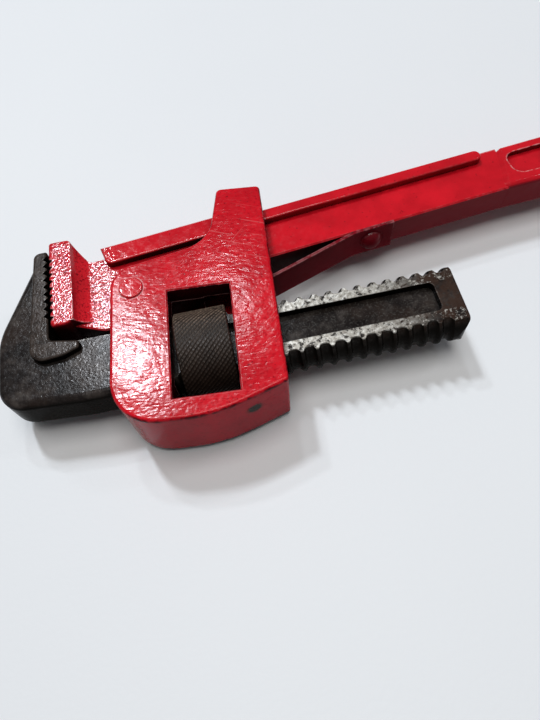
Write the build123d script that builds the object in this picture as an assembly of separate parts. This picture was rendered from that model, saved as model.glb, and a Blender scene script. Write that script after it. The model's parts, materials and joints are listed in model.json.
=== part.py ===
"""Pipe wrench: a handle with a toothed heel jaw, a housing that rocks on a pin, and a hook jaw
whose threaded shank runs through a captive nut.

Millimetres. Modelled about the housing pin with X along the handle, Y toward the handle's back and
the mid plane at Z 0, then moved so that the wrench lies on Z 0.
"""

import os
from math import atan, cos, degrees, pi, radians, sin, sqrt, tan

from build123d import *

# Angles against the handle's length, in degrees
housing_tilt = 10.5
shank_tilt = 6.1
rock_angle = 3.0

# Clearances
pin_play = 0.05
slot_play = 0.4
strap_play = 0.3
thread_play = 0.4
nut_end_play = 0.55
jaw_play = 0.55
spring_play = 0.3

# Handle: neck, bar with a rib along each face, grip
web_thickness = 11.2
bar_front = 2.1
bar_back = 21.0
bar_chamfer = 0.5
rib_front = 16.4
rib_thickness = 16.6
rib_round = 0.7
rib_end = 135.2
flange_tip = -7.6
flange_end = 33.0
flange_back = 25.4
flange_chamfer = 1.9
neck_front = -8.3
pin_boss_x = 3.0
bar_start = 28.0
grip_start = 137.0
grip_slant = 6.0
grip_thickness = 13.2
grip_front_drop = 4.0
grip_round = 2.0
grip_ramp_length = 2.1
grip_ramp_height = 1.3
grip_end_round = 10.0
handle_end = 253.0
grip_panel_start = 144.0
grip_panel_end = 226.0
grip_panel_depth = 2.0
grip_rim_front = 4.4
grip_rim_back = 4.2
hang_hole_diameter = 8.0
hang_hole_inset = 11.5

# Heel jaw, about the middle of its tooth line
heel_x = -26.7
heel_y = 14.3
heel_length = 35.2
heel_depth = 7.7
heel_thickness = 19.0
heel_round = 1.1
heel_corner = 3.2
heel_fillet = 6.9
neck_flare = 6.3
neck_fillet = 3.0

# Teeth of both jaws
tooth_pitch = 2.95
tooth_depth = 1.5
tooth_count = 9
tooth_flat = 0.35
tooth_rake = 0.35
tooth_shift = -2.7

# Hook jaw and its shank, along the shank and across it from the shank's axis
shank_drop = 22.33
shank_thickness = 14.2
shank_end = 105.0
shank_corner = 3.6
shank_end_round = 1.2
rod_start = 0.0
stem_end = 4.0
stem_front = 11.0
stem_back = 10.4
hook_back = 46.6
hook_back_turn = 16.7
hook_back_round = 25.0
hook_foot = 8.9
hook_foot_round = 9.0
hook_height = 47.6
hook_tip_width = 5.2
hook_round = 2.5
pad_back = 35.3
pad_back_lean = 2.1
pad_bottom = 3.6
pad_corner = 5.0
pad_round = 0.8
throat_end = -19.0
throat_height = 11.2
nose_top = 9.2
nose_bottom = 6.6
panel_width = 11.0
panel_start = 22.0
panel_end = 97.2
panel_depth = 2.8

# Thread of the shank and the nut
thread_diameter = 24.6
thread_depth = 1.25
thread_pitch = 5.0
crest_width = 0.9
root_width = 2.3
crest_round = 0.7
root_round = 1.4
crest_lip = 0.05
thread_start = 9.0
thread_end = 101.0

# Nut
nut_wall = 2.1
nut_length = 17.0
nut_centre = 20.2
nut_chamfer = 0.4

# Housing, in its own frame about the pin
housing_thickness = 26.0
window_height = 38.2
window_drop = 1.2
front_wall = 18.7
rear_wall = 14.4
outer_bar = 6.4
lower_sweep = 7.5
pin_corner_height = 8.0
horn_height = 38.0
horn_width = 15.4
horn_lean = 4.5
horn_foot_height = 15.4
outline_round = 1.1
window_chamfer = 0.5
strap_start = 38.0
slot_deep = 17.0

# Pin, springs and rivets
pin_diameter = 8.0
pin_proud = 0.6
leaf_thickness = 1.1
leaf_width = 12.5
leaf_bend = 79.0
leaf_tip = 39.5
leaf_foot = 14.8
leaf_angle = 13.4
leaf_bend_radius = 14.0
leaf_rivet_inset = 8.3
leaf_rivet_diameter = 4.5
leaf_rivet_head = 8.0
leaf_rivet_dome = 2.8
leaf_rivet_depth = 10.0
inner_leaf_thickness = 0.9
inner_leaf_width = 10.0
inner_leaf_inset = 0.5
inner_leaf_foot = 6.4
inner_leaf_reach = 5.4
inner_leaf_bend_radius = 3.0
inner_pocket = 4.0
inner_rivet_inset = 3.1
inner_rivet_diameter = 3.5
inner_rivet_head = 5.0
inner_rivet_dome = 1.1

# Sizes that follow from the ones above
thread_radius = thread_diameter / 2
root_radius = thread_radius - thread_depth
thread_slope = (thread_pitch - crest_width - root_width) / thread_depth
nut_bore = root_radius + thread_play
nut_groove = thread_radius + thread_play
nut_radius = nut_groove + nut_wall
nut_tilt = radians(housing_tilt - shank_tilt)
window_length = nut_length * cos(nut_tilt) + 2 * nut_radius * sin(nut_tilt) + 2 * nut_end_play
nut_u = nut_centre * cos(nut_tilt) + shank_drop * sin(nut_tilt)
nut_v = nut_centre * sin(nut_tilt) - shank_drop * cos(nut_tilt)
window_front = nut_u - window_length / 2
window_rear = nut_u + window_length / 2
window_top = nut_v - window_drop + window_height / 2
window_bottom = window_top - window_height
housing_front = window_front - front_wall
housing_rear = window_rear + rear_wall
housing_bottom = window_bottom - outer_bar
leaf_end = leaf_bend + leaf_foot
leaf_rivet_x = leaf_end - leaf_rivet_inset
leaf_y = bar_front - leaf_thickness / 2
leaf_tip_y = leaf_y - (leaf_bend - leaf_tip) * tan(radians(leaf_angle))
bridge_top = leaf_tip_y - leaf_thickness - leaf_tip * sin(radians(rock_angle)) - spring_play
passage_reach = thread_radius + slot_play
pocket_floor = -passage_reach - inner_pocket
passage_end = housing_rear / cos(nut_tilt) + (pocket_floor - shank_drop) * tan(nut_tilt)
inner_leaf_start = passage_end - inner_leaf_inset
inner_leaf_bend = inner_leaf_start - inner_leaf_foot
inner_leaf_tip = inner_leaf_bend - inner_leaf_reach
inner_rivet_along = inner_leaf_start - inner_rivet_inset
mid_height = max(nut_radius, housing_thickness / 2 + pin_proud)

# Frames of the tilted pieces
housing_frame = Rot(0, 0, -housing_tilt)
shank_frame = Rot(0, 0, -shank_tilt) * Pos(0, -shank_drop, 0)
jaw_frame = Pos(heel_x, heel_y, 0) * Rot(0, 0, -shank_tilt)
along_x = Plane((0, 0, 0), x_dir=(0, 1, 0), z_dir=(1, 0, 0)).location
along_y = Plane((0, 0, 0), x_dir=(1, 0, 0), z_dir=(0, 1, 0)).location


def outline(corners):
    """A flat face through corners given as (x, y, corner radius)."""
    points = [(x, y) for x, y, radius in corners]
    radii = [radius for x, y, radius in corners]
    return make_face(FilletPolyline(*points, radius=radii, close=True))


def slab(face, thickness):
    """A flat piece about the mid plane."""
    return extrude(face, thickness / 2, both=True)


def block(x0, x1, y0, y1, thickness):
    """A box about the mid plane."""
    return Pos((x0 + x1) / 2, (y0 + y1) / 2, 0) * Box(x1 - x0, y1 - y0, thickness)


def face_edges(solid):
    """The edges around the top and bottom faces."""
    layers = solid.edges().group_by(Axis.Z)
    return layers[0] + layers[-1]


def strip(path, thickness, width):
    """A bent strip that stands on edge along a path in plan."""
    return slab(trace(path, line_width=thickness), width)


def tooth_gaps(side, shift):
    """Notches of a tooth line. Side is +1 where the metal lies at positive x, -1 at negative x."""
    half = (tooth_pitch - tooth_flat) / 2
    gaps = []
    for number in range(tooth_count):
        y = (number - (tooth_count - 1) / 2) * tooth_pitch + tooth_shift + shift
        gap = Polyline(
            (-side, y - half),
            (0, y - half),
            (side * tooth_depth, y + side * tooth_rake),
            (0, y + half),
            (-side, y + half),
            close=True,
        )
        gaps.append(slab(make_face(gap), 2 * heel_thickness))
    return gaps


def build_handle():
    web_face = outline(
        [
            (heel_x + heel_depth / 2, heel_y - heel_length / 2 + heel_round, 0),
            (flange_tip - 4, neck_front, 8),
            (pin_boss_x, neck_front + 0.4, 9),
            (bar_start, bar_front, 20),
            (grip_start + grip_slant, bar_front, 0),
            (grip_start + grip_slant, bar_back, 0),
            (heel_x + heel_depth + neck_flare, bar_back, neck_fillet),
            (heel_x + heel_depth + 1.4, heel_y + heel_length / 2 - 2, 0),
            (heel_x + heel_depth / 2, heel_y + heel_length / 2 - 2, 0),
        ]
    )
    web = slab(web_face, web_thickness)

    front_arris = face_edges(web).filter_by(Axis.X).group_by(Axis.Y)[0]
    web = chamfer(front_arris, bar_chamfer)

    rib = slab(
        outline(
            [
                (flange_tip + 1, rib_front, 2.5),
                (rib_end, rib_front, 2.2),
                (rib_end, bar_back, 2.2),
                (flange_end + 3, bar_back, 0),
                (flange_end, flange_back, 0),
                (flange_tip - 0.4, flange_back, 0),
            ]
        ),
        rib_thickness,
    )
    long_back = rib.edges().filter_by(Axis.X).group_by(Axis.Y)[-1]
    rib = chamfer(long_back, flange_chamfer)
    rib = fillet(face_edges(rib), rib_round)

    grip = slab(
        outline(
            [
                (grip_start, bar_front, 0),
                (handle_end, bar_front - grip_front_drop, grip_end_round),
                (handle_end, bar_back, grip_end_round),
                (grip_start + grip_slant, bar_back, 0),
            ]
        ),
        grip_thickness,
    )
    held_edges = face_edges(grip).filter_by(lambda edge: edge.center().X > grip_panel_start)
    grip = fillet(held_edges, grip_round)
    start_face = grip.faces().sort_by(Axis.X)[0]
    start_edges = face_edges(grip).filter_by(lambda edge: edge.center().X < grip_start + grip_slant)
    grip = chamfer(start_edges, grip_ramp_height, grip_ramp_length, reference=start_face)
    panel = outline(
        [
            (grip_panel_start, bar_front + grip_rim_front, 4),
            (grip_panel_end, bar_front - grip_front_drop + grip_rim_front + 0.8, 5),
            (grip_panel_end, bar_back - grip_rim_back, 5),
            (grip_panel_start, bar_back - grip_rim_back, 4),
        ]
    )
    floor = grip_thickness / 2 - grip_panel_depth
    recess = extrude(Plane.XY.offset(floor) * panel, grip_panel_depth)
    grip -= [recess, mirror(recess, Plane.XY)]

    heel = slab(
        outline(
            [
                (0, -heel_length / 2, 1.2),
                (heel_depth, -heel_length / 2, heel_corner),
                (heel_depth, heel_length / 2, 1.5),
                (0, heel_length / 2, 1.2),
            ]
        ),
        heel_thickness,
    )
    heel = jaw_frame * fillet(face_edges(heel), heel_round)
    rise = (heel_thickness - web_thickness) / 2
    fillet_x = heel_depth + sqrt(heel_fillet**2 - (heel_fillet - rise) ** 2)
    shoulder = slab(web_face, heel_thickness)
    low = heel_round - heel_length / 2
    shoulder &= jaw_frame * block(heel_depth / 2, fillet_x, low, heel_length, heel_thickness)
    hollow = along_y * Cylinder(heel_fillet, 3 * heel_length)
    for side in (-1, 1):
        shoulder -= jaw_frame * Pos(fillet_x, 0, side * (web_thickness / 2 + heel_fillet)) * hollow

    handle = web + rib + grip + heel + shoulder
    handle -= [jaw_frame * gap for gap in tooth_gaps(1, 0)]
    handle -= Cylinder(pin_diameter / 2 + pin_play, rib_thickness)
    eye_y = bar_back - (bar_back - bar_front + grip_front_drop) / 2
    eye = Pos(handle_end - hang_hole_inset, eye_y, 0)
    handle -= eye * Cylinder(hang_hole_diameter / 2, rib_thickness)
    seat = Pos(leaf_rivet_x, bar_front + leaf_rivet_depth / 2, 0) * along_y
    handle -= seat * Cylinder(leaf_rivet_diameter / 2, leaf_rivet_depth)
    return handle


def housing_face():
    return outline(
        [
            (housing_rear, horn_height - 0.6, 1.5),
            (housing_rear, housing_bottom + lower_sweep, 1.2),
            (nut_u + 2, housing_bottom - 0.6, 55),
            (housing_front, housing_bottom, 15),
            (housing_front, pin_corner_height, 9),
            (housing_rear - horn_width - horn_lean, horn_foot_height, 13),
            (housing_rear - horn_width, horn_height + 0.2, 2),
        ]
    )


def inner_rivet_axis():
    """Along the inner rivet, from the strip it holds out of the housing's lower edge."""
    return shank_frame * Pos(inner_rivet_along, pocket_floor + inner_leaf_thickness, 0) * along_y


def build_housing():
    housing = slab(housing_face(), housing_thickness)
    housing = fillet(face_edges(housing), outline_round)
    housing -= block(window_front, window_rear, window_bottom, window_top, 2 * housing_thickness)
    window = block(window_front, window_rear, window_bottom, window_top, housing_thickness)
    around = window.bounding_box()
    window_edges = face_edges(housing).filter_by(lambda edge: around.is_inside(edge.bounding_box()))
    housing = housing_frame * chamfer(window_edges, window_chamfer)

    strap = bar_back + strap_play
    far = 3 * housing_rear
    handle_slot = outline(
        [
            (-far, -slot_deep, 0),
            (nut_u, -slot_deep, 0),
            (nut_u, bridge_top, 0),
            (far, bridge_top, 0),
            (far, strap, 0),
            (strap_start, strap, 0),
            (strap_start, far, 0),
            (-far, far, 0),
        ]
    )
    housing -= slab(handle_slot, web_thickness + 2 * slot_play)
    swing = far * tan(radians(rock_angle))
    rib_groove = outline(
        [
            (-far, rib_front - slot_play, 0),
            (0, rib_front - slot_play, 0),
            (far, rib_front - slot_play - swing, 0),
            (far, strap, 0),
            (strap_start, strap, 0),
            (strap_start, far, 0),
            (-far, far, 0),
        ]
    )
    housing -= slab(rib_groove, rib_thickness + 2 * slot_play)
    housing -= block(nut_u, far, bridge_top, bar_front, leaf_width + 2 * slot_play)

    passage = block(-far, far, -passage_reach, passage_reach, shank_thickness + 2 * slot_play)
    housing -= shank_frame * passage
    pocket = block(nut_centre, far, pocket_floor, 0, inner_leaf_width + 2 * spring_play)
    housing -= shank_frame * pocket
    housing -= Cylinder(pin_diameter / 2, 2 * housing_thickness)
    rivet_hole = Cylinder(inner_rivet_diameter / 2, housing_thickness)
    housing -= inner_rivet_axis() * Pos(0, 0, -housing_thickness / 2) * rivet_hole
    return housing


def build_pin():
    pin = Cylinder(pin_diameter / 2, housing_thickness + 2 * pin_proud)
    return fillet(pin.edges().filter_by(GeomType.CIRCLE), pin_proud)


def thread_gap():
    """One groove across the shank's upper edge, a ring sector tilted to the lead of the thread."""
    lip = thread_radius + crest_lip
    mouth = root_width / 2 + thread_slope * (lip - root_radius) / 2
    section = outline(
        [
            (-thread_pitch, lip, 0),
            (-mouth, lip, crest_round),
            (-root_width / 2, root_radius, root_round),
            (root_width / 2, root_radius, root_round),
            (mouth, lip, crest_round),
            (thread_pitch, lip, 0),
            (thread_pitch, lip + 1, 0),
            (-thread_pitch, lip + 1, 0),
        ]
    )
    sector = revolve(section, Axis.X, 120)
    lead = degrees(atan(thread_pitch / (2 * pi * (root_radius + thread_depth / 2))))
    return Rot(0, lead, 0) * Rot(-60, 0, 0) * sector


def build_hook_jaw():
    rod = Cylinder(thread_radius, shank_end - rod_start)
    shank = Pos((shank_end + rod_start) / 2, 0, 0) * along_x * rod
    plan = outline(
        [
            (rod_start, -thread_radius, 0),
            (shank_end, -thread_radius, shank_corner),
            (shank_end, thread_radius, shank_corner),
            (rod_start, thread_radius, 0),
        ]
    )
    blank = slab(plan, shank_thickness)
    shank &= fillet(face_edges(blank), shank_end_round)

    upper = thread_gap()
    lower = Rot(180, 0, 0) * upper
    first = nut_centre - thread_pitch * int((nut_centre - thread_start) / thread_pitch)
    count = int((thread_end - first) / thread_pitch)
    for number in range(count + 1):
        at = first + number * thread_pitch
        shank -= [Pos(at, 0, 0) * upper, Pos(at - thread_pitch / 2, 0, 0) * lower]

    floor = shank_thickness / 2 - panel_depth
    panel = outline(
        [
            (panel_start, -panel_width / 2, 3),
            (panel_end, -panel_width / 2, 2),
            (panel_end, panel_width / 2, 2),
            (panel_start, panel_width / 2, 3),
        ]
    )
    recess = extrude(Plane.XY.offset(floor) * panel, panel_depth)
    shank -= [recess, mirror(recess, Plane.XY)]

    jaw_in_shank = shank_frame.inverse() * jaw_frame * Pos(-jaw_play, 0, 0)
    teeth = jaw_in_shank.position.X
    tip = hook_height - 2
    body = slab(
        outline(
            [
                (teeth - 3, tip, 0),
                (teeth - hook_tip_width, tip, 0),
                (-hook_back, hook_back_turn, hook_back_round),
                (-hook_back + 0.5, -hook_foot, hook_foot_round),
                (throat_end - 1, -stem_front, 20),
                (stem_end, -stem_front, 0),
                (stem_end, stem_back, 0),
                (teeth - 3, stem_back, 0),
            ]
        ),
        shank_thickness,
    )

    def is_outer(edge):
        at = edge.center()
        return at.X < teeth - hook_tip_width or at.Y < -hook_foot

    body = fillet(face_edges(body).filter_by(is_outer), hook_round)
    pad = slab(
        outline(
            [
                (teeth, hook_height, 0.5),
                (-pad_back + pad_back_lean, hook_height, 2.4),
                (-pad_back, pad_bottom, pad_corner),
                (throat_end - pad_corner, pad_bottom + 1, pad_corner),
                (throat_end, nose_bottom, 1),
                (throat_end, nose_top, 0.8),
                (teeth, throat_height, 1.6),
            ]
        ),
        heel_thickness,
    )
    pad = fillet(face_edges(pad), pad_round)
    jaw = body + pad
    jaw -= [jaw_in_shank * gap for gap in tooth_gaps(-1, tooth_pitch / 2)]
    return shank_frame * (shank + jaw)


def build_nut():
    nut = Cylinder(nut_radius, nut_length)
    nut = chamfer(nut.edges().filter_by(GeomType.CIRCLE), nut_chamfer)
    nut -= Cylinder(nut_bore, 2 * nut_length)

    def groove_width(radius):
        return thread_pitch - root_width + 2 * thread_play - thread_slope * (radius - root_radius)

    turns = 2 * int(nut_length / thread_pitch / 2) + 3
    path = Helix(thread_pitch, thread_pitch, nut_groove)
    inner = nut_bore - thread_play / 2
    section = Polyline(
        (inner - nut_groove, -groove_width(inner) / 2),
        (0, -groove_width(nut_groove) / 2),
        (0, groove_width(nut_groove) / 2),
        (inner - nut_groove, groove_width(inner) / 2),
        close=True,
    )
    start = Plane(origin=path @ 0, x_dir=(1, 0, 0), z_dir=path % 0)
    groove = sweep(start * make_face(section), path=path, is_frenet=True)
    for turn in range(turns):
        nut -= Pos(0, 0, (turn - turns / 2) * thread_pitch) * groove
    return shank_frame * Pos(nut_centre, 0, 0) * along_x * nut


def rivet(shank_diameter, shank_length, head_diameter, dome_height):
    """A domed rivet along Z with the underside of its head at 0 and the shank below."""
    sphere = ((head_diameter / 2) ** 2 + dome_height**2) / (2 * dome_height)
    head = Pos(0, 0, dome_height - sphere) * Sphere(sphere)
    head &= Pos(0, 0, dome_height) * Box(2 * head_diameter, 2 * head_diameter, 2 * dome_height)
    return head + Pos(0, 0, -shank_length / 2) * Cylinder(shank_diameter / 2, shank_length)


def build_handle_spring():
    path = FilletPolyline(
        (leaf_end, leaf_y),
        (leaf_bend, leaf_y),
        (leaf_tip, leaf_tip_y),
        radius=leaf_bend_radius,
    )
    hole = Pos(leaf_rivet_x, leaf_y, 0) * along_y * Cylinder(leaf_rivet_diameter / 2, 4 * leaf_thickness)
    return strip(path, leaf_thickness, leaf_width) - hole


def build_handle_spring_rivet():
    head = Pos(leaf_rivet_x, bar_front - leaf_thickness, 0) * Rot(180, 0, 0) * along_y
    length = leaf_thickness + leaf_rivet_depth - spring_play
    return head * rivet(leaf_rivet_diameter, length, leaf_rivet_head, leaf_rivet_dome)


def build_housing_spring():
    flat = pocket_floor + inner_leaf_thickness / 2
    path = FilletPolyline(
        (inner_leaf_start, flat),
        (inner_leaf_bend, flat),
        (inner_leaf_tip, -thread_radius - spring_play - inner_leaf_thickness / 2),
        radius=inner_leaf_bend_radius,
    )
    spring = shank_frame * strip(path, inner_leaf_thickness, inner_leaf_width)
    return spring - inner_rivet_axis() * Cylinder(inner_rivet_diameter / 2, 4 * inner_leaf_thickness)


def build_housing_spring_rivet():
    body = rivet(inner_rivet_diameter, housing_thickness, inner_rivet_head, inner_rivet_dome)
    return inner_rivet_axis() * body & housing_frame * slab(housing_face(), housing_thickness)


parts = {
    "handle": build_handle(),
    "housing": build_housing(),
    "housing_pin": build_pin(),
    "hook_jaw": build_hook_jaw(),
    "adjusting_nut": build_nut(),
    "handle_spring": build_handle_spring(),
    "handle_spring_rivet": build_handle_spring_rivet(),
    "housing_spring": build_housing_spring(),
    "housing_spring_rivet": build_housing_spring_rivet(),
}

centre = Compound(list(parts.values())).bounding_box().center()
os.makedirs("parts", exist_ok=True)
for name, shape in parts.items():
    export_step(Pos(-centre.X, -centre.Y, mid_height) * shape, f"parts/{name}.step")
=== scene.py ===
"""Looks of the pipe wrench: chipped red enamel, forged steel, a knurled nut, floor, light and camera."""

import json
import math

import bpy
from mathutils import Matrix, Vector


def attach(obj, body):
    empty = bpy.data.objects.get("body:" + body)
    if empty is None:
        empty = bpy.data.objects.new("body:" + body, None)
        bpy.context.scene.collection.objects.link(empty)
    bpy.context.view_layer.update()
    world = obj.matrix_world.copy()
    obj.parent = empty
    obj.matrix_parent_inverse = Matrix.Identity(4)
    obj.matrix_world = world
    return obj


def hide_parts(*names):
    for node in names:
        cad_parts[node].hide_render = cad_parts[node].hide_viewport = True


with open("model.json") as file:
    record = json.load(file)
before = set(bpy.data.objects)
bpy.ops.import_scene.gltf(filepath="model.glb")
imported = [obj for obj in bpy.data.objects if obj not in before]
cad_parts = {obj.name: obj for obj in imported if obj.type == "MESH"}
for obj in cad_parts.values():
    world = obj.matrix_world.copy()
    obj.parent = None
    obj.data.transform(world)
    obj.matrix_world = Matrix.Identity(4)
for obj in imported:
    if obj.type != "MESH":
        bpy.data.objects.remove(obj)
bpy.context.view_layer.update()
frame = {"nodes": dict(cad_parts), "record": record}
nodes = frame["nodes"]
joints = {joint["name"]: joint for joint in frame["record"]["behaviour"]["joints"]}

# Directions and places. The housing's flat faces are at face_height to either side of the pin's middle.
MM = 0.001
UP = Vector((0, 0, 1))
TO_BACK = Vector((0, 1, 0))
TO_HEEL = Vector((-1, 0, 0))
pin = Vector(joints["housing_rock"]["pos_m"])
nut_middle = Vector(joints["nut_turn"]["pos_m"])
shank_along = Vector(joints["nut_turn"]["axis"]).normalized()
shank_across = UP.cross(shank_along)
face_height = 13.0 * MM
chip_point = pin + Vector((26.6, -50.2, 4.0)) * MM
flush_rivet = nut_middle + (shank_along * 19.7 - shank_across * 22.2) * MM
lit_point = Vector((-0.06, 0.0, 0.02))

# Paint colours
red = (0.7, 0.009, 0.02)
deep_red = (0.52, 0.006, 0.014)
maroon = (0.2, 0.004, 0.012)
deep_maroon = (0.13, 0.003, 0.008)
shaded_forging = (0.14, 0.003, 0.009)
shaded_casting = (0.12, 0.006, 0.018)
casting_speck = (0.34, 0.004, 0.01)
casting_pit = (0.1, 0.003, 0.008)
heel_pit = (0.05, 0.002, 0.005)
paint_dot = (0.06, 0.003, 0.005)
painted_shade_dark = (0.02, 0.002, 0.003)
arris_dirt = (0.04, 0.003, 0.006)
rubbed_paint = (0.75, 0.38, 0.38)
scratched_paint = (0.8, 0.3, 0.3)
bare_iron = (0.03, 0.02, 0.018)
chip_black = (0.012, 0.012, 0.009)

# Steel colours
brown_scale = (0.034, 0.022, 0.017)
rust_brown = (0.05, 0.027, 0.019)
cast_grit = (0.085, 0.08, 0.072)
painted_steel_shade = (0.005, 0.004, 0.003)
nut_dust_and_sheen = (0.3, 0.21, 0.15)

# Light colours
daylight = (0.86, 0.93, 1.0)
room_light = (1.0, 0.98, 0.95)

# Ring nut, lengths in mm
nut_radius = 14.8
nut_length = 17.0
nut_chamfer = 0.4
nut_bore = 11.45
thread_pitch = 5.0
groove_radius = 12.7
groove_half_width = 0.56
flank_slope = 1.39
knurl_starts = 56
knurl_depth = 0.25
knurl_cross_share = 0.45
knurl_lead = 90.0
nut_points_around = 448
nut_rows = 86


class Look:
    """A procedural material built from texture nodes in the object's own coordinates."""

    def __init__(self, name):
        self.material = bpy.data.materials.new(name)
        self.material.use_nodes = True
        self.tree = self.material.node_tree
        self.shader = self.tree.nodes["Principled BSDF"]
        coordinates = self.node("ShaderNodeTexCoord")
        self.place = coordinates.outputs["Object"]
        self.facing = coordinates.outputs["Normal"]

    def node(self, kind, **settings):
        """A new node with these settings."""
        made = self.tree.nodes.new(kind)
        for name, value in settings.items():
            setattr(made, name, value)
        return made

    def feed(self, socket, value):
        """Link a socket to another node's output, or set it to a constant."""
        if isinstance(value, bpy.types.NodeSocket):
            self.tree.links.new(value, socket)
        else:
            socket.default_value = value

    def shade(self, **inputs):
        """Feed the shader's inputs, named with underscores for spaces."""
        for name, value in inputs.items():
            self.feed(self.shader.inputs[name.replace("_", " ")], value)

    def stretch(self, scale=(1, 1, 1), shift=(0, 0, 0), turn=0.0):
        """The object's coordinates, turned about Z and then scaled along each axis."""
        mapping = self.node("ShaderNodeMapping", vector_type="TEXTURE")
        self.feed(mapping.inputs["Vector"], self.place)
        mapping.inputs["Location"].default_value = shift
        mapping.inputs["Rotation"].default_value = (0, 0, math.radians(turn))
        mapping.inputs["Scale"].default_value = [1 / factor for factor in scale]
        return mapping.outputs["Vector"]

    def noise(self, scale, detail=4.0, roughness=0.5, distortion=0.0, vector=None):
        """Noise from 0 to 1, with so many features per metre as its scale."""
        noise = self.node("ShaderNodeTexNoise")
        self.feed(noise.inputs["Vector"], self.place if vector is None else vector)
        noise.inputs["Scale"].default_value = scale
        noise.inputs["Detail"].default_value = detail
        noise.inputs["Roughness"].default_value = roughness
        noise.inputs["Distortion"].default_value = distortion
        return noise.outputs["Fac"]

    def patches(self, grain, low, high, shift=None):
        """A mask from noise, 0 below low and 1 above high. Grain is its scale, detail and roughness."""
        vector = None if shift is None else self.stretch(shift=shift)
        return self.step(self.noise(*grain, vector=vector), low, high)

    def math(self, operation, first, second=0.0, clamp=False):
        """One operation on one or two numbers."""
        made = self.node("ShaderNodeMath", operation=operation, use_clamp=clamp)
        self.feed(made.inputs[0], first)
        self.feed(made.inputs[1], second)
        return made.outputs[0]

    def along(self, direction, origin):
        """Distance along a direction from an origin, in metres."""
        shifted = self.node("ShaderNodeVectorMath", operation="SUBTRACT")
        self.feed(shifted.inputs[0], self.place)
        shifted.inputs[1].default_value = origin
        return self.dot(shifted.outputs[0], direction)

    def away(self, direction, origin):
        """Distance to either side of the origin along a direction, in metres."""
        return self.math("ABSOLUTE", self.along(direction, origin))

    def dot(self, vector, direction):
        """How much of a vector points in a direction."""
        made = self.node("ShaderNodeVectorMath", operation="DOT_PRODUCT")
        self.feed(made.inputs[0], vector)
        made.inputs[1].default_value = direction
        return made.outputs["Value"]

    def distance(self, point):
        """Distance from a point, in metres."""
        made = self.node("ShaderNodeVectorMath", operation="DISTANCE")
        self.feed(made.inputs[0], self.place)
        made.inputs[1].default_value = point
        return made.outputs["Value"]

    def near(self, point, reach, fade):
        """1 within reach of a point, fading to 0 beyond it."""
        return self.step(self.distance(point), reach + fade, reach)

    def step(self, value, low, high):
        """0 below low, 1 above high, smooth between. Low may be above high to turn it round."""
        made = self.node("ShaderNodeMapRange", interpolation_type="SMOOTHSTEP")
        self.feed(made.inputs["Value"], value)
        made.inputs["From Min"].default_value = low
        made.inputs["From Max"].default_value = high
        return made.outputs["Result"]

    def both(self, first, second):
        """Where two masks meet, or a mask at part of its strength."""
        return self.math("MULTIPLY", first, second)

    def either(self, first, *others):
        """Where any of the masks is."""
        for other in others:
            first = self.math("MAXIMUM", first, other)
        return first

    def ramp(self, value, *stops):
        """A colour from a value, through stops of a position and a colour."""
        made = self.node("ShaderNodeValToRGB")
        self.feed(made.inputs["Fac"], value)
        elements = made.color_ramp.elements
        while len(elements) < len(stops):
            elements.new(0.5)
        for element, (position, colour) in zip(elements, stops):
            element.position = position
            element.color = (*colour, 1.0)
        return made.outputs["Color"]

    def mix(self, factor, first, second):
        """A colour between two colours."""
        made = self.node("ShaderNodeMix", data_type="RGBA")
        self.feed(made.inputs["Factor"], factor)
        for socket, colour in ((made.inputs["A"], first), (made.inputs["B"], second)):
            self.feed(socket, (*colour, 1.0) if isinstance(colour, tuple) else colour)
        return made.outputs["Result"]

    def blend(self, factor, first, second):
        """A number between two numbers."""
        made = self.node("ShaderNodeMix", data_type="FLOAT")
        for name, value in (("Factor", factor), ("A", first), ("B", second)):
            self.feed(made.inputs[name], value)
        return made.outputs["Result"]

    def edges(self, reach):
        """1 on outside edges within reach, 0 on flat faces."""
        made = self.node("ShaderNodeAmbientOcclusion", inside=True, only_local=True, samples=12)
        made.inputs["Distance"].default_value = reach
        return self.math("SUBTRACT", 1.0, made.outputs["AO"], clamp=True)

    def corners(self, reach):
        """1 deep in inside corners within reach, 0 on open faces."""
        made = self.node("ShaderNodeAmbientOcclusion", samples=12)
        made.inputs["Distance"].default_value = reach
        return self.math("SUBTRACT", 1.0, made.outputs["AO"], clamp=True)

    def sides(self):
        """1 on upright faces, 0 on faces that look up or down."""
        return self.step(self.math("ABSOLUTE", self.dot(self.facing, UP)), 0.75, 0.3)

    def scratches(self, turn, shift):
        """Thin straight lines in patches, turned about Z."""
        lines = self.noise(1500, 0.0, vector=self.stretch((0.03, 1, 1), shift, turn))
        return self.both(self.step(lines, 0.7, 0.78), self.patches((45, 2.0), 0.48, 0.6, shift))

    def bump(self, height, distance, under=None):
        """A normal for a bump of this depth, laid over another one."""
        made = self.node("ShaderNodeBump")
        self.feed(made.inputs["Height"], height)
        made.inputs["Distance"].default_value = distance
        if under is not None:
            self.feed(made.inputs["Normal"], under)
        return made.outputs["Normal"]


def paint_tone(look, bright, deep):
    """The paint's colour, in broad patches of two tones."""
    return look.mix(look.patches((70, 5, 0.6), 0.3, 0.7), deep, bright)


def paint_dents(look):
    """Shallow dents of the metal under the paint."""
    return look.bump(look.noise(220, 2), 0.1 * MM)


def paint_roughness(look, low, high):
    """Roughness between two values, in small patches."""
    return look.blend(look.patches((500, 4), 0.35, 0.7), low, high)


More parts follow.
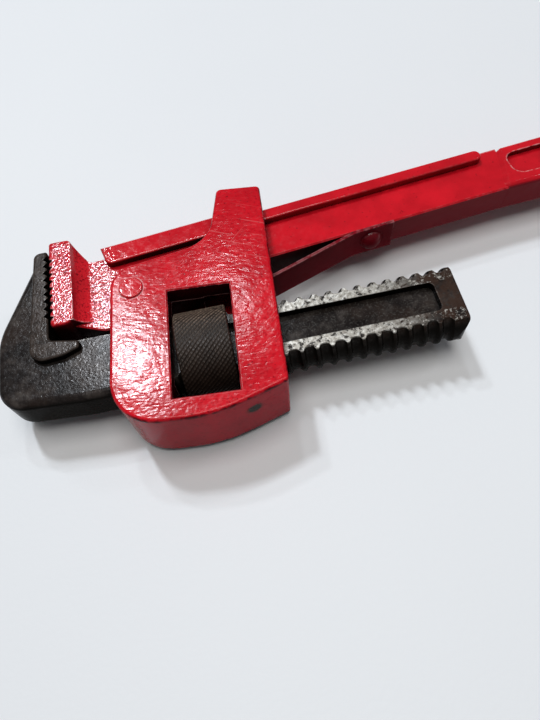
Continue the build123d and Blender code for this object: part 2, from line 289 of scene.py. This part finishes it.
def wear_of(look, colour, wear, rubbed=None, flush=None):
    """Painted shade in the corners and recesses, rubbed and bare edges, dark dots.

    Wear is how pale the rubbed edges are. Rubbed marks where every edge is worn, flush the place of a
    painted-over rivet that isn't.
    """
    # Painted shade in patches in the corners, and near-black painted shade deep in the recesses.
    painted_shade = look.both(look.corners(4 * MM), look.patches((300, 4), 0.3, 0.65))
    inside = look.step(look.corners(14 * MM), 0.42, 0.72)
    colour = look.mix(look.either(look.both(painted_shade, 0.8), inside), colour, painted_shade_dark)

    edge = look.edges(0.8 * MM)
    worn = look.both(look.step(edge, 0.1, 0.36), look.patches((420, 6, 0.7), 0.42, 0.58))
    if rubbed is not None:
        worn = look.either(worn, look.both(look.step(look.edges(0.4 * MM), 0.08, 0.2), rubbed))
    bare = look.both(look.step(edge, 0.14, 0.4), look.patches((260, 6, 0.7), 0.57, 0.68, (3, 1, 2)))
    if flush is not None:
        around_it = look.step(look.distance(flush), 3.0 * MM, 3.6 * MM)
        worn = look.both(worn, around_it)
        bare = look.both(bare, around_it)
    colour = look.mix(look.both(worn, wear), colour, rubbed_paint)
    colour = look.mix(bare, colour, bare_iron)

    dots = look.patches((620, 3, 0.7), 0.66, 0.72, (5, 2, 7))
    colour = look.mix(look.both(dots, 0.7), colour, paint_dot)
    return colour, worn, bare


def enamel(name, bright, deep, grain, rough=0.08, shine=0.5, shade=0.5, wear=0.6, rough_end=0.0):
    """Thick glossy paint over a forging, worn along its edges.

    Shade is how dark the painted shade on the upright faces in front is, wear how pale the rubbed edges are.
    Grain and
    rough_end are heights in mm: the fine grain everywhere and the coarse grain of the heel.
    """
    look = Look(name)
    colour = paint_tone(look, bright, deep)
    specks = look.patches((1100, 4, 0.7), 0.55, 0.72)
    colour = look.mix(look.both(specks, 0.4), colour, deep)
    sides = look.sides()
    # Painted shade on the upright faces, darkest on those in front.
    front = look.step(look.along(TO_BACK, pin), 12 * MM, 8 * MM)
    colour = look.mix(look.both(sides, look.blend(front, 0.5, shade)), colour, shaded_forging)
    colour, worn, bare = wear_of(look, colour, wear)
    shine = look.blend(sides, shine, 0.12 * shine)

    normal = look.bump(look.noise(1000, 1), grain * MM, paint_dents(look))
    rough = paint_roughness(look, rough, rough + 0.08)
    if rough_end:
        heel = look.step(look.along(TO_HEEL, pin), 2 * MM, 8 * MM)
        heel = look.both(heel, look.math("SUBTRACT", 1.0, sides))
        normal = look.bump(look.both(look.noise(1150, 1), heel), rough_end * MM, normal)
        pits = look.both(look.patches((1500, 2, 0.6), 0.55, 0.63), heel)
        colour = look.mix(look.both(pits, 0.7), colour, heel_pit)
        shine = look.blend(pits, look.blend(heel, shine, 0.75), 0.06)
    rough = look.blend(look.either(worn, bare), rough, 0.5)
    rough = look.blend(sides, rough, 0.35)
    look.shade(Base_Color=colour, Roughness=rough, Normal=normal, Specular_IOR_Level=shine)
    return look.material


def wrinkled_enamel(name):
    """The red paint on the cast housing: wrinkled, scratched on its two flat faces, with one chip."""
    window_walls = 22.5 * MM
    window_rims = 25.5 * MM
    fade = 2.0 * MM

    look = Look(name)
    colour = paint_tone(look, red, deep_red)
    specks = look.patches((750, 5, 0.75), 0.48, 0.66)
    colour = look.mix(look.both(specks, 0.5), colour, casting_speck)
    sides = look.sides()
    # Painted shade on the upright faces.
    colour = look.mix(look.both(sides, 0.5), colour, shaded_casting)
    # Near-black painted shade on the walls inside the window.
    wall_shade = look.both(sides, look.near(nut_middle, window_walls, fade))
    colour = look.mix(look.both(wall_shade, 0.85), colour, painted_shade_dark)
    rims = look.both(look.near(nut_middle, window_rims, fade), look.patches((180, 3), 0.35, 0.5))
    colour, worn, bare = wear_of(look, colour, 0.75, rims, flush_rivet)

    height = look.away(UP, pin)
    above_side = look.step(height, face_height - 1.8 * MM, face_height - 1.4 * MM)
    below_face = look.step(height, face_height - 0.1 * MM, face_height - 0.4 * MM)
    dark_line = look.both(look.both(above_side, below_face), look.patches((260, 5, 0.7), 0.42, 0.58))
    colour = look.mix(look.both(dark_line, 0.85), colour, arris_dirt)
    face = look.step(height, face_height - 0.6 * MM, face_height - 0.2 * MM)
    marks = look.either(look.scratches(38, (2.1, 0.4, 0.0)), look.scratches(-33, (0.3, 3.7, 1.0)))
    colour = look.mix(look.both(look.both(marks, face), 0.22), colour, scratched_paint)
    torn = look.math("ADD", look.distance(chip_point), look.both(look.noise(900), 1.6 * MM))
    chip = look.step(torn, 4.4 * MM, 2.4 * MM)
    colour = look.mix(chip, colour, chip_black)
    pits = look.patches((900, 3, 0.7), 0.6, 0.68)
    colour = look.mix(look.both(pits, 0.6), colour, casting_pit)

    waves = look.noise(800, 1, distortion=0.5, vector=look.stretch((0.4, 1, 0.7), turn=-14))
    normal = look.bump(waves, 0.055 * MM, paint_dents(look))
    normal = look.bump(look.noise(1000, 1), 0.03 * MM, normal)
    rough = look.blend(look.either(worn, bare), paint_roughness(look, 0.12, 0.19), 0.5)
    shine = look.blend(look.either(chip, sides, pits, dark_line), 0.2, 0.06)
    look.shade(Base_Color=colour, Roughness=rough, Normal=normal, Specular_IOR_Level=shine)
    return look.material


def forged_steel(name):
    """Dark scale on the hook jaw, rubbed to bright steel along the shank's rims, brown at its end."""
    scale_tones = ((0.3, (0.006, 0.005, 0.005)), (0.5, (0.02, 0.016, 0.015)), (0.72, (0.075, 0.063, 0.056)))
    pad_tones = ((0.3, (0.016, 0.011, 0.009)), (0.7, (0.07, 0.052, 0.043)))
    steel_tones = ((0.3, (0.2, 0.17, 0.14)), (0.5, (0.48, 0.45, 0.4)), (0.7, (0.86, 0.84, 0.79)))
    pad_low = 7.6 * MM
    pad_end = -30 * MM
    panel_half = 5.4 * MM
    rim_low = 6.6 * MM
    rim_start = 9 * MM
    bright_end = 54 * MM
    fleck_start = 76 * MM
    brown_start = 50 * MM
    brown_full = 78 * MM
    blur = 0.4 * MM

    look = Look(name)
    along = look.along(shank_along, nut_middle)
    across = look.away(shank_across, nut_middle)
    height = look.away(UP, pin)
    sides = look.sides()

    colour = look.ramp(look.noise(160, 8, 0.65), *scale_tones)
    brown = look.patches((60, 5, 0.6), 0.48, 0.66)
    colour = look.mix(look.both(brown, 0.6), colour, brown_scale)
    pad = look.step(height, pad_low, pad_low + 2 * blur)
    pad = look.both(pad, look.step(along, pad_end + 10 * MM, pad_end))
    colour = look.mix(look.both(pad, 0.85), colour, look.ramp(look.noise(420, 6, 0.7), *pad_tones))

    worn = look.both(look.step(look.edges(0.8 * MM), 0.12, 0.5), look.patches((500, 5, 0.7), 0.42, 0.64))
    rim = look.step(height, rim_low, rim_low + blur)
    rim = look.both(rim, look.step(across, panel_half, panel_half + blur))
    rim = look.both(rim, look.step(along, rim_start, rim_start + 5 * MM))
    near_nut = look.step(along, fleck_start, bright_end)
    flecks = look.patches((800, 4, 0.75), 0.54, 0.64)
    rubbed = look.both(look.patches((560, 5, 0.75), 0.39, 0.5), look.blend(near_nut, flecks, 1.0))
    polish = look.either(look.both(rim, rubbed), look.both(worn, 0.3))
    rust = look.both(look.step(along, brown_start, brown_full), look.patches((240, 6, 0.7), 0.36, 0.55))
    rust = look.both(rust, look.step(height, 4.0 * MM, 6.9 * MM))
    colour = look.mix(look.both(rust, 0.8), colour, rust_brown)
    colour = look.mix(polish, colour, look.ramp(look.noise(900, 5, 0.7), *steel_tones))

    grit = look.patches((1300, 3, 0.7), 0.5, 0.7)
    hollow = look.both(look.step(height, rim_low, rim_low - blur), look.step(along, 0.0, 10 * MM))
    colour = look.mix(look.both(grit, look.blend(hollow, 0.15, 0.6)), colour, cast_grit)
    # Near-black painted shade in the corners and on the upright faces.
    painted_shade = look.either(look.both(look.corners(3 * MM), 0.8), look.both(sides, 0.93))
    colour = look.mix(painted_shade, colour, painted_steel_shade)

    normal = look.bump(look.noise(300, 2), 0.06 * MM)
    normal = look.bump(look.noise(1300, 2), 0.055 * MM, normal)
    rough = look.blend(look.patches((800, 4), 0.35, 0.7), 0.14, 0.26)
    rough = look.blend(polish, rough, 0.34)
    metal = look.blend(polish, 0.05, 0.4)
    shine = look.blend(sides, 0.09, 0.01)
    look.shade(Base_Color=colour, Roughness=rough, Metallic=metal, Normal=normal, Specular_IOR_Level=shine)
    return look.material


def dark_nut_steel(name):
    """Oiled dark steel, a little lighter on the points of the knurl, with pale dust and a painted sheen on
    the back side.
    """
    dark_tones = ((0.3, (0.012, 0.008, 0.006)), (0.7, (0.034, 0.022, 0.016)))
    tip_tones = ((0.3, (0.030, 0.020, 0.016)), (0.7, (0.095, 0.068, 0.052)))

    look = Look(name)
    ridge = look.node("ShaderNodeAttribute", attribute_name="ridge").outputs["Fac"]
    colour = look.ramp(look.noise(220, 6, 0.65), *dark_tones)
    tips = look.ramp(look.noise(600, 5, 0.7), *tip_tones)
    colour = look.mix(look.step(ridge, 0.4, 1.0), colour, tips)
    # Pale dust and a painted sheen on the knurl points of the back side, where the light falls.
    dusty_lit_side = look.step(look.along(shank_across, nut_middle), -1 * MM, 10 * MM)
    dust_and_sheen = look.both(look.step(ridge, 0.15, 0.7), look.patches((900, 4, 0.7), 0.36, 0.62))
    colour = look.mix(look.both(dusty_lit_side, dust_and_sheen), colour, nut_dust_and_sheen)
    normal = look.bump(look.noise(2200, 3, 0.6), 0.08 * MM)
    rough = look.blend(look.patches((700, 4), 0.35, 0.7), 0.3, 0.45)
    look.shade(Base_Color=colour, Roughness=rough, Metallic=0.25, Normal=normal, Specular_IOR_Level=0.3)
    return look.material


def spring_steel(name):
    """Brushed grey steel."""
    look = Look(name)
    colour = look.ramp(look.noise(300, 6, 0.6), (0.3, (0.06, 0.058, 0.056)), (0.7, (0.16, 0.155, 0.15)))
    brushed = look.noise(400, 4, 0.6, vector=look.stretch((0.15, 1, 3)))
    rough = look.blend(brushed, 0.3, 0.5)
    look.shade(Base_Color=colour, Roughness=rough, Metallic=0.9, Normal=look.bump(brushed, 0.03 * MM))
    return look.material


def pale_floor(name):
    """Smooth pale board, a little uneven in tone."""
    look = Look(name)
    tone = look.ramp(look.noise(3, 3), (0.3, (0.80, 0.81, 0.83)), (0.7, (0.84, 0.85, 0.865)))
    look.shade(Base_Color=tone, Roughness=0.6, Normal=look.bump(look.noise(600, 3), 0.05 * MM))
    return look.material


def new_object(name, data):
    """An object in the scene for a mesh, a lamp or a camera."""
    made = bpy.data.objects.new(name, data)
    bpy.context.scene.collection.objects.link(made)
    return made


def saw(value):
    """A triangle wave from 0 to 1 and back."""
    return 1.0 - abs(2.0 * (value % 1.0) - 1.0)


def knurl(axial, turn):
    """The radius of the nut's outside at a place along it and a part of a turn, and its ridge from 0 to 1."""
    slant = axial / knurl_lead
    first = saw((turn + slant) * knurl_starts)
    second = saw((turn - slant) * knurl_starts)
    ridge = first * (1.0 - knurl_cross_share * (1.0 - second))
    cut_back = max(0.0, abs(axial) - (nut_length / 2 - nut_chamfer))
    return nut_radius - cut_back - knurl_depth * (1.0 - ridge), ridge


def thread(axial, turn):
    """The same for the inside, a helical groove that has no ridge."""
    from_groove = abs((axial / thread_pitch - turn) % 1.0 - 0.5) * thread_pitch
    radius = groove_radius - max(0.0, from_groove - groove_half_width) * flank_slope
    return max(nut_bore, radius), 0.0


def knurled_nut():
    """The ring nut with a diamond knurl outside and its helical thread inside."""
    points = []
    ridges = []
    for surface, sense in ((knurl, 1), (thread, -1)):
        for row in range(nut_rows):
            axial = sense * (row / (nut_rows - 1) - 0.5) * nut_length
            for step in range(nut_points_around):
                turn = step / nut_points_around
                angle = 2 * math.pi * turn
                radius, ridge = surface(axial, turn)
                outward = shank_across * math.cos(angle) + UP * math.sin(angle)
                points.append(nut_middle + (shank_along * axial + outward * radius) * MM)
                ridges.append(ridge)

    faces = []
    loops = 2 * nut_rows
    for row in range(loops):
        here = row * nut_points_around
        there = (row + 1) % loops * nut_points_around
        for step in range(nut_points_around):
            after = (step + 1) % nut_points_around
            faces.append((here + step, here + after, there + after, there + step))
    mesh = bpy.data.meshes.new("knurled_nut")
    mesh.from_pydata([tuple(point) for point in points], [], faces)
    mesh.update()
    layer = mesh.attributes.new("ridge", "FLOAT", "POINT")
    for item, ridge in zip(layer.data, ridges):
        item.value = ridge
    mesh.materials.append(dark_nut_steel("nut_steel"))
    return new_object("knurled_nut", mesh)


def dress(node, material):
    """Give a CAD piece its material."""
    for slot in nodes[node].material_slots:
        slot.material = material


def square_floor(half_side):
    """A flat square on the ground, in metres."""
    corners = [(-half_side, -half_side, 0), (half_side, -half_side, 0)]
    corners += [(half_side, half_side, 0), (-half_side, half_side, 0)]
    mesh = bpy.data.meshes.new("floor")
    mesh.from_pydata(corners, [], [(0, 1, 2, 3)])
    mesh.materials.append(pale_floor("pale_floor"))
    return new_object("floor", mesh)


def softbox(name, azimuth, elevation, distance, size, power, colour):
    """A rectangular lamp in a direction from the housing, facing it, in degrees, metres and watts."""
    lamp = bpy.data.lights.new(name, "AREA")
    lamp.shape = "RECTANGLE"
    lamp.color = colour
    lamp.size, lamp.size_y = size
    lamp.energy = power
    turn = math.radians(azimuth)
    lift = math.radians(elevation)
    level = Vector((math.cos(turn), math.sin(turn), 0))
    direction = level * math.cos(lift) + UP * math.sin(lift)
    made = new_object(name, lamp)
    made.location = lit_point + direction * distance
    made.rotation_euler = direction.to_track_quat("Z", "Y").to_euler()


def plain_world():
    """A weak even light from all around."""
    world = bpy.data.worlds.new("studio")
    world.use_nodes = True
    background = world.node_tree.nodes["Background"]
    background.inputs["Color"].default_value = (0.95, 0.97, 1.0, 1.0)
    background.inputs["Strength"].default_value = 0.1
    return world


def photo_camera():
    """A camera at the photograph's viewing angle, placed from the pin."""
    right = Vector((0.95162, -0.30265, -0.05306))
    up = Vector((0.29299, 0.84168, 0.45356))
    back = right.cross(up)
    place = pin + Vector((19.40, -114.98, 162.25)) * MM
    data = bpy.data.cameras.new("camera")
    data.lens = 28.0
    data.sensor_width = 36.0
    data.clip_start = 0.005
    camera = new_object("camera", data)
    camera.matrix_world = Matrix.Translation(place) @ Matrix((right, up, back)).transposed().to_4x4()
    return camera


dress("handle", enamel("handle_enamel", red, deep_red, grain=0.025, shade=0.93, rough_end=0.17))
dress("housing", wrinkled_enamel("housing_enamel"))
dress("housing_pin", enamel("pin_enamel", red, deep_red, grain=0.03))
dress("housing_spring_rivet", wrinkled_enamel("inner_rivet_enamel"))
dull_paint = {"grain": 0.03, "rough": 0.2, "shine": 0.15, "shade": 0.2, "wear": 0.2}
dress("handle_spring", enamel("spring_enamel", maroon, deep_maroon, **dull_paint))
smooth_paint = {"grain": 0.03, "rough": 0.12, "shine": 0.4, "shade": 0.1, "wear": 0.05}
dress("handle_spring_rivet", enamel("rivet_enamel", maroon, deep_maroon, **smooth_paint))
dress("hook_jaw", forged_steel("forged_steel"))
dress("housing_spring", spring_steel("inner_spring_steel"))

nut = knurled_nut()
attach(nut, "adjusting_nut")
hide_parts("adjusting_nut")

floor = square_floor(half_side=3.0)

softbox("window_light", 107.5, 58.5, 2.5, (0.16, 0.22), 21.0, daylight)
softbox("second_window_light", 86, 57, 2.5, (0.14, 0.14), 5.0, daylight)
softbox("low_window_light", 107, 50.5, 2.5, (0.12, 0.1), 6.5, daylight)
softbox("ceiling_light", 90, 90, 2.2, (1.3, 1.3), 24.0, room_light)
softbox("side_light", 10, 48, 1.2, (0.12, 0.12), 0.6, daylight)
bpy.context.scene.world = plain_world()
bpy.context.scene.camera = photo_camera()
bpy.context.scene.view_settings.view_transform = "Standard"
